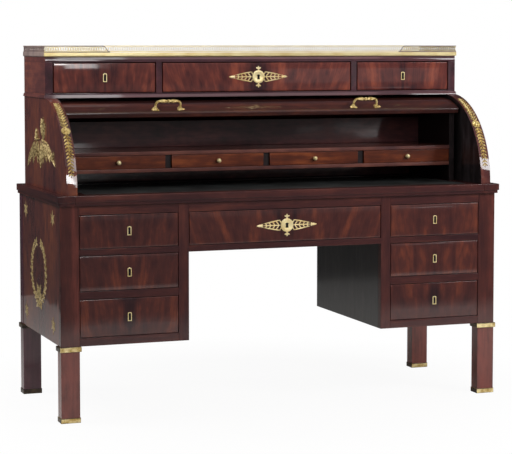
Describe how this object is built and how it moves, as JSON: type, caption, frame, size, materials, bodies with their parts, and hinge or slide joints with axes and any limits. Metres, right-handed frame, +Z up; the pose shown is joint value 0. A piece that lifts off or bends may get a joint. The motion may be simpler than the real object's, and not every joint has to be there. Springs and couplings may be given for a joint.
{
  "type": "cylinder desk",
  "caption": "Cylinder desk with a rolling quarter-round fall, a pull-out writing slide, pedestal, frieze and small inner drawers, gilt mounts and a pierced gallery.",
  "frame": {"origin": "on the floor, in the middle of the desk's width and depth", "axes": "+X to the right for someone facing the front, +Y to the back, +Z up"},
  "size_m": [1.641, 0.6226, 1.2665],
  "materials": {
    "mahogany": "french polished",
    "oak": "planed and waxed",
    "brass": "polished",
    "gilt_bronze": "gilt, matt and burnished",
    "iron": "forged and oiled",
    "leather": "waxed"
  },
  "bodies": {
    "carcass": {"corner_posts": "mahogany", "leg_brasses": "brass", "base_side_panels": "mahogany", "pedestal_inner_sides": "mahogany", "base_back_panels": "mahogany", "dust_boards": "oak", "front_rails": "mahogany", "drawer_runners": "oak", "bed": "mahogany", "cheeks": "mahogany", "cabinet_back": "mahogany", "frieze_boards": "mahogany", "cabinet_top": "mahogany", "top_gallery": "brass", "interior_case": "mahogany", "gilt_mounts": "gilt_bronze", "pivot_pins": "iron"},
    "fall": {"cylinder_shell": "mahogany", "cylinder_arms": "iron", "cylinder_handles": "gilt_bronze"},
    "slide": {"writing_slide": "mahogany", "writing_leather": "leather"},
    "left_bottom_drawer": {"left_bottom_drawer_front": "mahogany", "left_bottom_drawer_box": "oak", "left_bottom_drawer_lock": "brass"},
    "right_bottom_drawer": {"right_bottom_drawer_front": "mahogany", "right_bottom_drawer_box": "oak", "right_bottom_drawer_lock": "brass"},
    "left_middle_drawer": {"left_middle_drawer_front": "mahogany", "left_middle_drawer_box": "oak", "left_middle_drawer_lock": "brass"},
    "right_middle_drawer": {"right_middle_drawer_front": "mahogany", "right_middle_drawer_box": "oak", "right_middle_drawer_lock": "brass"},
    "left_top_drawer": {"left_top_drawer_front": "mahogany", "left_top_drawer_box": "oak", "left_top_drawer_lock": "brass"},
    "right_top_drawer": {"right_top_drawer_front": "mahogany", "right_top_drawer_box": "oak", "right_top_drawer_lock": "brass"},
    "centre_drawer": {"centre_drawer_front": "mahogany", "centre_drawer_box": "oak", "centre_drawer_lock": "gilt_bronze"},
    "frieze_left_drawer": {"frieze_left_drawer_front": "mahogany", "frieze_left_drawer_box": "oak", "frieze_left_drawer_lock": "brass"},
    "frieze_centre_drawer": {"frieze_centre_drawer_front": "mahogany", "frieze_centre_drawer_box": "oak", "frieze_centre_drawer_lock": "gilt_bronze"},
    "frieze_right_drawer": {"frieze_right_drawer_front": "mahogany", "frieze_right_drawer_box": "oak", "frieze_right_drawer_lock": "brass"},
    "small_drawer_1": {"small_drawer_1": "mahogany", "small_drawer_1_knob": "brass"},
    "small_drawer_2": {"small_drawer_2": "mahogany", "small_drawer_2_knob": "brass"},
    "small_drawer_3": {"small_drawer_3": "mahogany", "small_drawer_3_knob": "brass"},
    "small_drawer_4": {"small_drawer_4": "mahogany", "small_drawer_4_knob": "brass"}
  },
  "joints": [
    {"name": "fall_turn", "type": "hinge", "parent": "carcass", "child": "fall", "pos_m": [0, 0.01375, 0.7695], "axis": [-1, 0, 0], "range_deg": [-61.4, 0]},
    {"name": "slide_pull", "type": "slide", "parent": "carcass", "child": "slide", "axis": [0, -1, 0], "range_m": [0, 0.26]},
    {"name": "left_bottom_drawer_pull", "type": "slide", "parent": "carcass", "child": "left_bottom_drawer", "axis": [0, -1, 0], "range_m": [0, 0.38]},
    {"name": "right_bottom_drawer_pull", "type": "slide", "parent": "carcass", "child": "right_bottom_drawer", "axis": [0, -1, 0], "range_m": [0, 0.38]},
    {"name": "left_middle_drawer_pull", "type": "slide", "parent": "carcass", "child": "left_middle_drawer", "axis": [0, -1, 0], "range_m": [0, 0.38]},
    {"name": "right_middle_drawer_pull", "type": "slide", "parent": "carcass", "child": "right_middle_drawer", "axis": [0, -1, 0], "range_m": [0, 0.38]},
    {"name": "left_top_drawer_pull", "type": "slide", "parent": "carcass", "child": "left_top_drawer", "axis": [0, -1, 0], "range_m": [0, 0.38]},
    {"name": "right_top_drawer_pull", "type": "slide", "parent": "carcass", "child": "right_top_drawer", "axis": [0, -1, 0], "range_m": [0, 0.38]},
    {"name": "centre_drawer_pull", "type": "slide", "parent": "carcass", "child": "centre_drawer", "axis": [0, -1, 0], "range_m": [0, 0.38]},
    {"name": "frieze_left_drawer_pull", "type": "slide", "parent": "carcass", "child": "frieze_left_drawer", "axis": [0, -1, 0], "range_m": [0, 0.2]},
    {"name": "frieze_centre_drawer_pull", "type": "slide", "parent": "carcass", "child": "frieze_centre_drawer", "axis": [0, -1, 0], "range_m": [0, 0.2]},
    {"name": "frieze_right_drawer_pull", "type": "slide", "parent": "carcass", "child": "frieze_right_drawer", "axis": [0, -1, 0], "range_m": [0, 0.2]},
    {"name": "small_drawer_1_pull", "type": "slide", "parent": "carcass", "child": "small_drawer_1", "axis": [0, -1, 0], "range_m": [0, 0.2]},
    {"name": "small_drawer_2_pull", "type": "slide", "parent": "carcass", "child": "small_drawer_2", "axis": [0, -1, 0], "range_m": [0, 0.2]},
    {"name": "small_drawer_3_pull", "type": "slide", "parent": "carcass", "child": "small_drawer_3", "axis": [0, -1, 0], "range_m": [0, 0.2]},
    {"name": "small_drawer_4_pull", "type": "slide", "parent": "carcass", "child": "small_drawer_4", "axis": [0, -1, 0], "range_m": [0, 0.2]}
  ]
}
